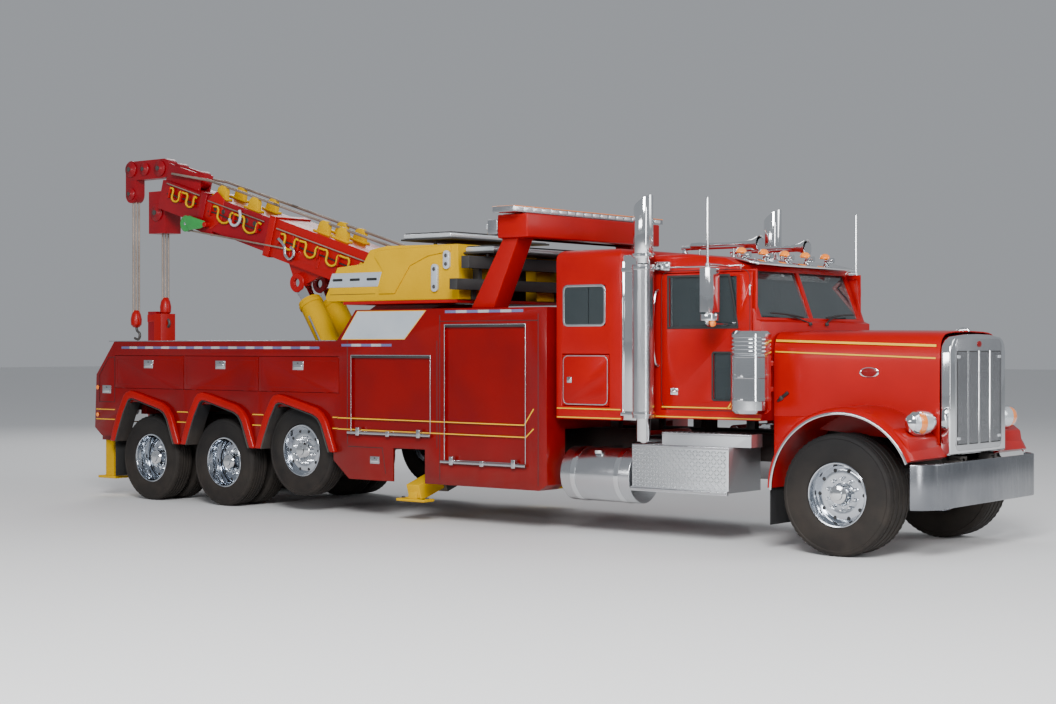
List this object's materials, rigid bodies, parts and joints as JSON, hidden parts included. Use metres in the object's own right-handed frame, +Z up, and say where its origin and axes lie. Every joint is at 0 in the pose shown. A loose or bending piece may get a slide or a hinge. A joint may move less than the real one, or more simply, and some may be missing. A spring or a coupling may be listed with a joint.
{
  "type": "heavy recovery truck with slewing boom",
  "caption": "Conventional-cab recovery truck with raised pusher axle, twin driven axles, slewing telescopic boom, light pylon, side lockers and folded underlift.",
  "frame": {"origin": "on the ground under the middle of the overall length, on the centre line", "axes": "+X forward along the truck, +Y to its left, +Z up"},
  "size_m": [12.23, 2.9258, 4.34],
  "materials": {
    "paint_red": "gloss",
    "paint_dark_red": "gloss",
    "paint_yellow": "gloss",
    "frame_black": "satin",
    "polished": "polished",
    "tread_plate": "satin",
    "tyre": "matt",
    "glass": "clear",
    "cast_steel": "satin",
    "trim_plastic": "matt"
  },
  "bodies": {
    "truck": {"chassis_frame": "frame_black", "front_bumper": "tread_plate", "engine_block": "cast_steel", "axles": "frame_black", "cab_shell": "paint_red", "cab_glass": "glass", "cab_interior": "trim_plastic", "sleeper_shell": "paint_red", "air_cleaners": "polished", "exhaust_stacks": "polished", "roof_trim": "polished", "fuel_tanks": "polished", "step_boxes": "tread_plate", "wrecker_body": "paint_red", "roller_shutters": "paint_dark_red", "light_pylon": "paint_red", "pylon_light_bar": "trim_plastic"},
    "knuckle_left": {"knuckle_left": "frame_black"},
    "knuckle_right": {"knuckle_right": "frame_black"},
    "front_wheel_left": {"wheel_front_left": "tyre"},
    "front_wheel_right": {"wheel_front_right": "tyre"},
    "lift_wheel_left": {"wheel_lift_left": "tyre"},
    "lift_wheel_right": {"wheel_lift_right": "tyre"},
    "drive_wheels_left": {"wheel_drive_left": "tyre"},
    "drive_wheels_right": {"wheel_drive_right": "tyre"},
    "rear_wheels_left": {"wheel_rear_left": "tyre"},
    "rear_wheels_right": {"wheel_rear_right": "tyre"},
    "cab_door_left": {"cab_door_left": "paint_red", "door_glass_left": "glass", "mirror_left": "polished"},
    "cab_door_right": {"cab_door_right": "paint_red", "door_glass_right": "glass", "mirror_right": "polished"},
    "sleeper_door_left": {"sleeper_door_left": "paint_red"},
    "sleeper_door_right": {"sleeper_door_right": "paint_red"},
    "bonnet": {"hood": "paint_red", "grille": "polished", "headlights": "polished"},
    "turret": {"turret_frame": "paint_red", "turret_housing": "paint_yellow", "turret_winches": "cast_steel"},
    "boom_base": {"boom_base": "paint_red"},
    "boom_mid": {"boom_mid": "paint_dark_red"},
    "boom_tip": {"boom_tip": "paint_dark_red"},
    "lift_barrels": {"lift_barrels": "paint_yellow"},
    "lift_rods": {"lift_rods": "polished"},
    "outrigger_left": {"outrigger_left": "paint_yellow"},
    "outrigger_right": {"outrigger_right": "paint_yellow"},
    "rear_jack_left": {"rear_jack_left": "paint_yellow"},
    "rear_jack_right": {"rear_jack_right": "paint_yellow"},
    "underlift": {"underlift_arm": "paint_red"},
    "crossbar": {"underlift_crossbar": "paint_red"},
    "drop_door_1_left": {"drop_door_1_left": "paint_red"},
    "drop_door_1_right": {"drop_door_1_right": "paint_red"},
    "drop_door_2_left": {"drop_door_2_left": "paint_red"},
    "drop_door_2_right": {"drop_door_2_right": "paint_red"},
    "drop_door_3_left": {"drop_door_3_left": "paint_red"},
    "drop_door_3_right": {"drop_door_3_right": "paint_red"}
  },
  "joints": [
    {"name": "steer_left", "type": "hinge", "parent": "truck", "child": "knuckle_left", "pos_m": [5.215, 0.85, 0.52], "axis": [0, 0, 1], "range_deg": [-30, 30]},
    {"name": "front_wheel_spin_left", "type": "hinge", "parent": "knuckle_left", "child": "front_wheel_left", "pos_m": [5.215, 1.03, 0.548], "axis": [0, 1, 0], "continuous": true},
    {"name": "steer_right", "type": "hinge", "parent": "truck", "child": "knuckle_right", "pos_m": [5.215, -0.85, 0.52], "axis": [0, 0, 1], "range_deg": [-30, 30]},
    {"name": "front_wheel_spin_right", "type": "hinge", "parent": "knuckle_right", "child": "front_wheel_right", "pos_m": [5.215, -1.03, 0.548], "axis": [0, 1, 0], "continuous": true},
    {"name": "lift_wheel_spin_left", "type": "hinge", "parent": "truck", "child": "lift_wheel_left", "pos_m": [-1.591, 1.095, 0.696], "axis": [0, 1, 0], "continuous": true},
    {"name": "lift_wheel_spin_right", "type": "hinge", "parent": "truck", "child": "lift_wheel_right", "pos_m": [-1.591, -1.095, 0.696], "axis": [0, 1, 0], "continuous": true},
    {"name": "drive_wheel_spin_left", "type": "hinge", "parent": "truck", "child": "drive_wheels_left", "pos_m": [-2.891, 1.095, 0.511], "axis": [0, 1, 0], "continuous": true},
    {"name": "drive_wheel_spin_right", "type": "hinge", "parent": "truck", "child": "drive_wheels_right", "pos_m": [-2.891, -1.095, 0.511], "axis": [0, 1, 0], "continuous": true},
    {"name": "rear_wheel_spin_left", "type": "hinge", "parent": "truck", "child": "rear_wheels_left", "pos_m": [-4.211, 1.095, 0.511], "axis": [0, 1, 0], "continuous": true},
    {"name": "rear_wheel_spin_right", "type": "hinge", "parent": "truck", "child": "rear_wheels_right", "pos_m": [-4.211, -1.095, 0.511], "axis": [0, 1, 0], "continuous": true},
    {"name": "cab_door_hinge_left", "type": "hinge", "parent": "truck", "child": "cab_door_left", "pos_m": [4.242, 1.052, 1.9], "axis": [0, 0, -1], "range_deg": [0, 65]},
    {"name": "cab_door_hinge_right", "type": "hinge", "parent": "truck", "child": "cab_door_right", "pos_m": [4.242, -1.052, 1.9], "axis": [0, 0, 1], "range_deg": [0, 65]},
    {"name": "sleeper_door_hinge_left", "type": "hinge", "parent": "truck", "child": "sleeper_door_left", "pos_m": [2.697, 1.202, 1.54], "axis": [0, 0, -1], "range_deg": [0, 90]},
    {"name": "sleeper_door_hinge_right", "type": "hinge", "parent": "truck", "child": "sleeper_door_right", "pos_m": [2.697, -1.202, 1.54], "axis": [0, 0, 1], "range_deg": [0, 90]},
    {"name": "bonnet_tilt", "type": "hinge", "parent": "truck", "child": "bonnet", "pos_m": [6.015, 0, 0.85], "axis": [0, 1, 0], "range_deg": [0, 55]},
    {"name": "drop_door_hinge_1_left", "type": "hinge", "parent": "truck", "child": "drop_door_1_left", "pos_m": [-1.57583, 1.273, 1.3595], "axis": [-1, 0, 0], "range_deg": [0, 90]},
    {"name": "drop_door_hinge_1_right", "type": "hinge", "parent": "truck", "child": "drop_door_1_right", "pos_m": [-1.57583, -1.273, 1.3595], "axis": [1, 0, 0], "range_deg": [0, 90]},
    {"name": "drop_door_hinge_2_left", "type": "hinge", "parent": "truck", "child": "drop_door_2_left", "pos_m": [-2.8775, 1.273, 1.3595], "axis": [-1, 0, 0], "range_deg": [0, 90]},
    {"name": "drop_door_hinge_2_right", "type": "hinge", "parent": "truck", "child": "drop_door_2_right", "pos_m": [-2.8775, -1.273, 1.3595], "axis": [1, 0, 0], "range_deg": [0, 90]},
    {"name": "drop_door_hinge_3_left", "type": "hinge", "parent": "truck", "child": "drop_door_3_left", "pos_m": [-4.17917, 1.273, 1.3595], "axis": [-1, 0, 0], "range_deg": [0, 90]},
    {"name": "drop_door_hinge_3_right", "type": "hinge", "parent": "truck", "child": "drop_door_3_right", "pos_m": [-4.17917, -1.273, 1.3595], "axis": [1, 0, 0], "range_deg": [0, 90]},
    {"name": "turret_slew", "type": "hinge", "parent": "truck", "child": "turret", "pos_m": [-1.535, 0, 1.46], "axis": [0, 0, 1], "continuous": true},
    {"name": "boom_lift", "type": "hinge", "parent": "turret", "child": "boom_base", "pos_m": [-0.235, 0, 2.5], "axis": [0, 1, 0], "range_deg": [0, 35]},
    {"name": "boom_mid_slide", "type": "slide", "parent": "boom_base", "child": "boom_mid", "axis": [-0.9578, 0, 0.2874], "range_m": [0, 1.7]},
    {"name": "boom_tip_slide", "type": "slide", "parent": "boom_mid", "child": "boom_tip", "axis": [-0.9578, 0, 0.2874], "range_m": [0, 1.7]},
    {"name": "lift_cylinder_tilt", "type": "hinge", "parent": "turret", "child": "lift_barrels", "pos_m": [-1.785, 0, 1.36], "axis": [0, 1, 0], "range_deg": [0, 27]},
    {"name": "lift_cylinder_stroke", "type": "slide", "parent": "lift_barrels", "child": "lift_rods", "axis": [-0.5586, 0, 0.8294], "range_m": [0, 1.1225]},
    {"name": "outrigger_slide_left", "type": "slide", "parent": "truck", "child": "outrigger_left", "axis": [0, 0.9511, -0.309], "range_m": [0, 0.5]},
    {"name": "outrigger_slide_right", "type": "slide", "parent": "truck", "child": "outrigger_right", "axis": [0, -0.9511, -0.309], "range_m": [0, 0.5]},
    {"name": "rear_jack_slide_left", "type": "slide", "parent": "truck", "child": "rear_jack_left", "axis": [0, 0, -1], "range_m": [0, 0.19]},
    {"name": "rear_jack_slide_right", "type": "slide", "parent": "truck", "child": "rear_jack_right", "axis": [0, 0, -1], "range_m": [0, 0.19]},
    {"name": "underlift_fold", "type": "hinge", "parent": "truck", "child": "underlift", "pos_m": [-5.405, 0, 0.74], "axis": [0, -1, 0], "range_deg": [0, 90]},
    {"name": "crossbar_swivel", "type": "hinge", "parent": "underlift", "child": "crossbar", "pos_m": [-5.565, 0, 1.64], "axis": [1, 0, 0], "range_deg": [0, 90]}
  ],
  "couplings": [
    {"joint": "steer_right", "follows": "steer_left", "ratio": 1},
    {"joint": "lift_cylinder_tilt", "follows": "boom_lift", "ratio": 0.75705},
    {"joint": "lift_cylinder_stroke", "follows": "boom_lift", "m_per_rad": 1.8293},
    {"joint": "boom_tip_slide", "follows": "boom_mid_slide", "ratio": 1}
  ]
}
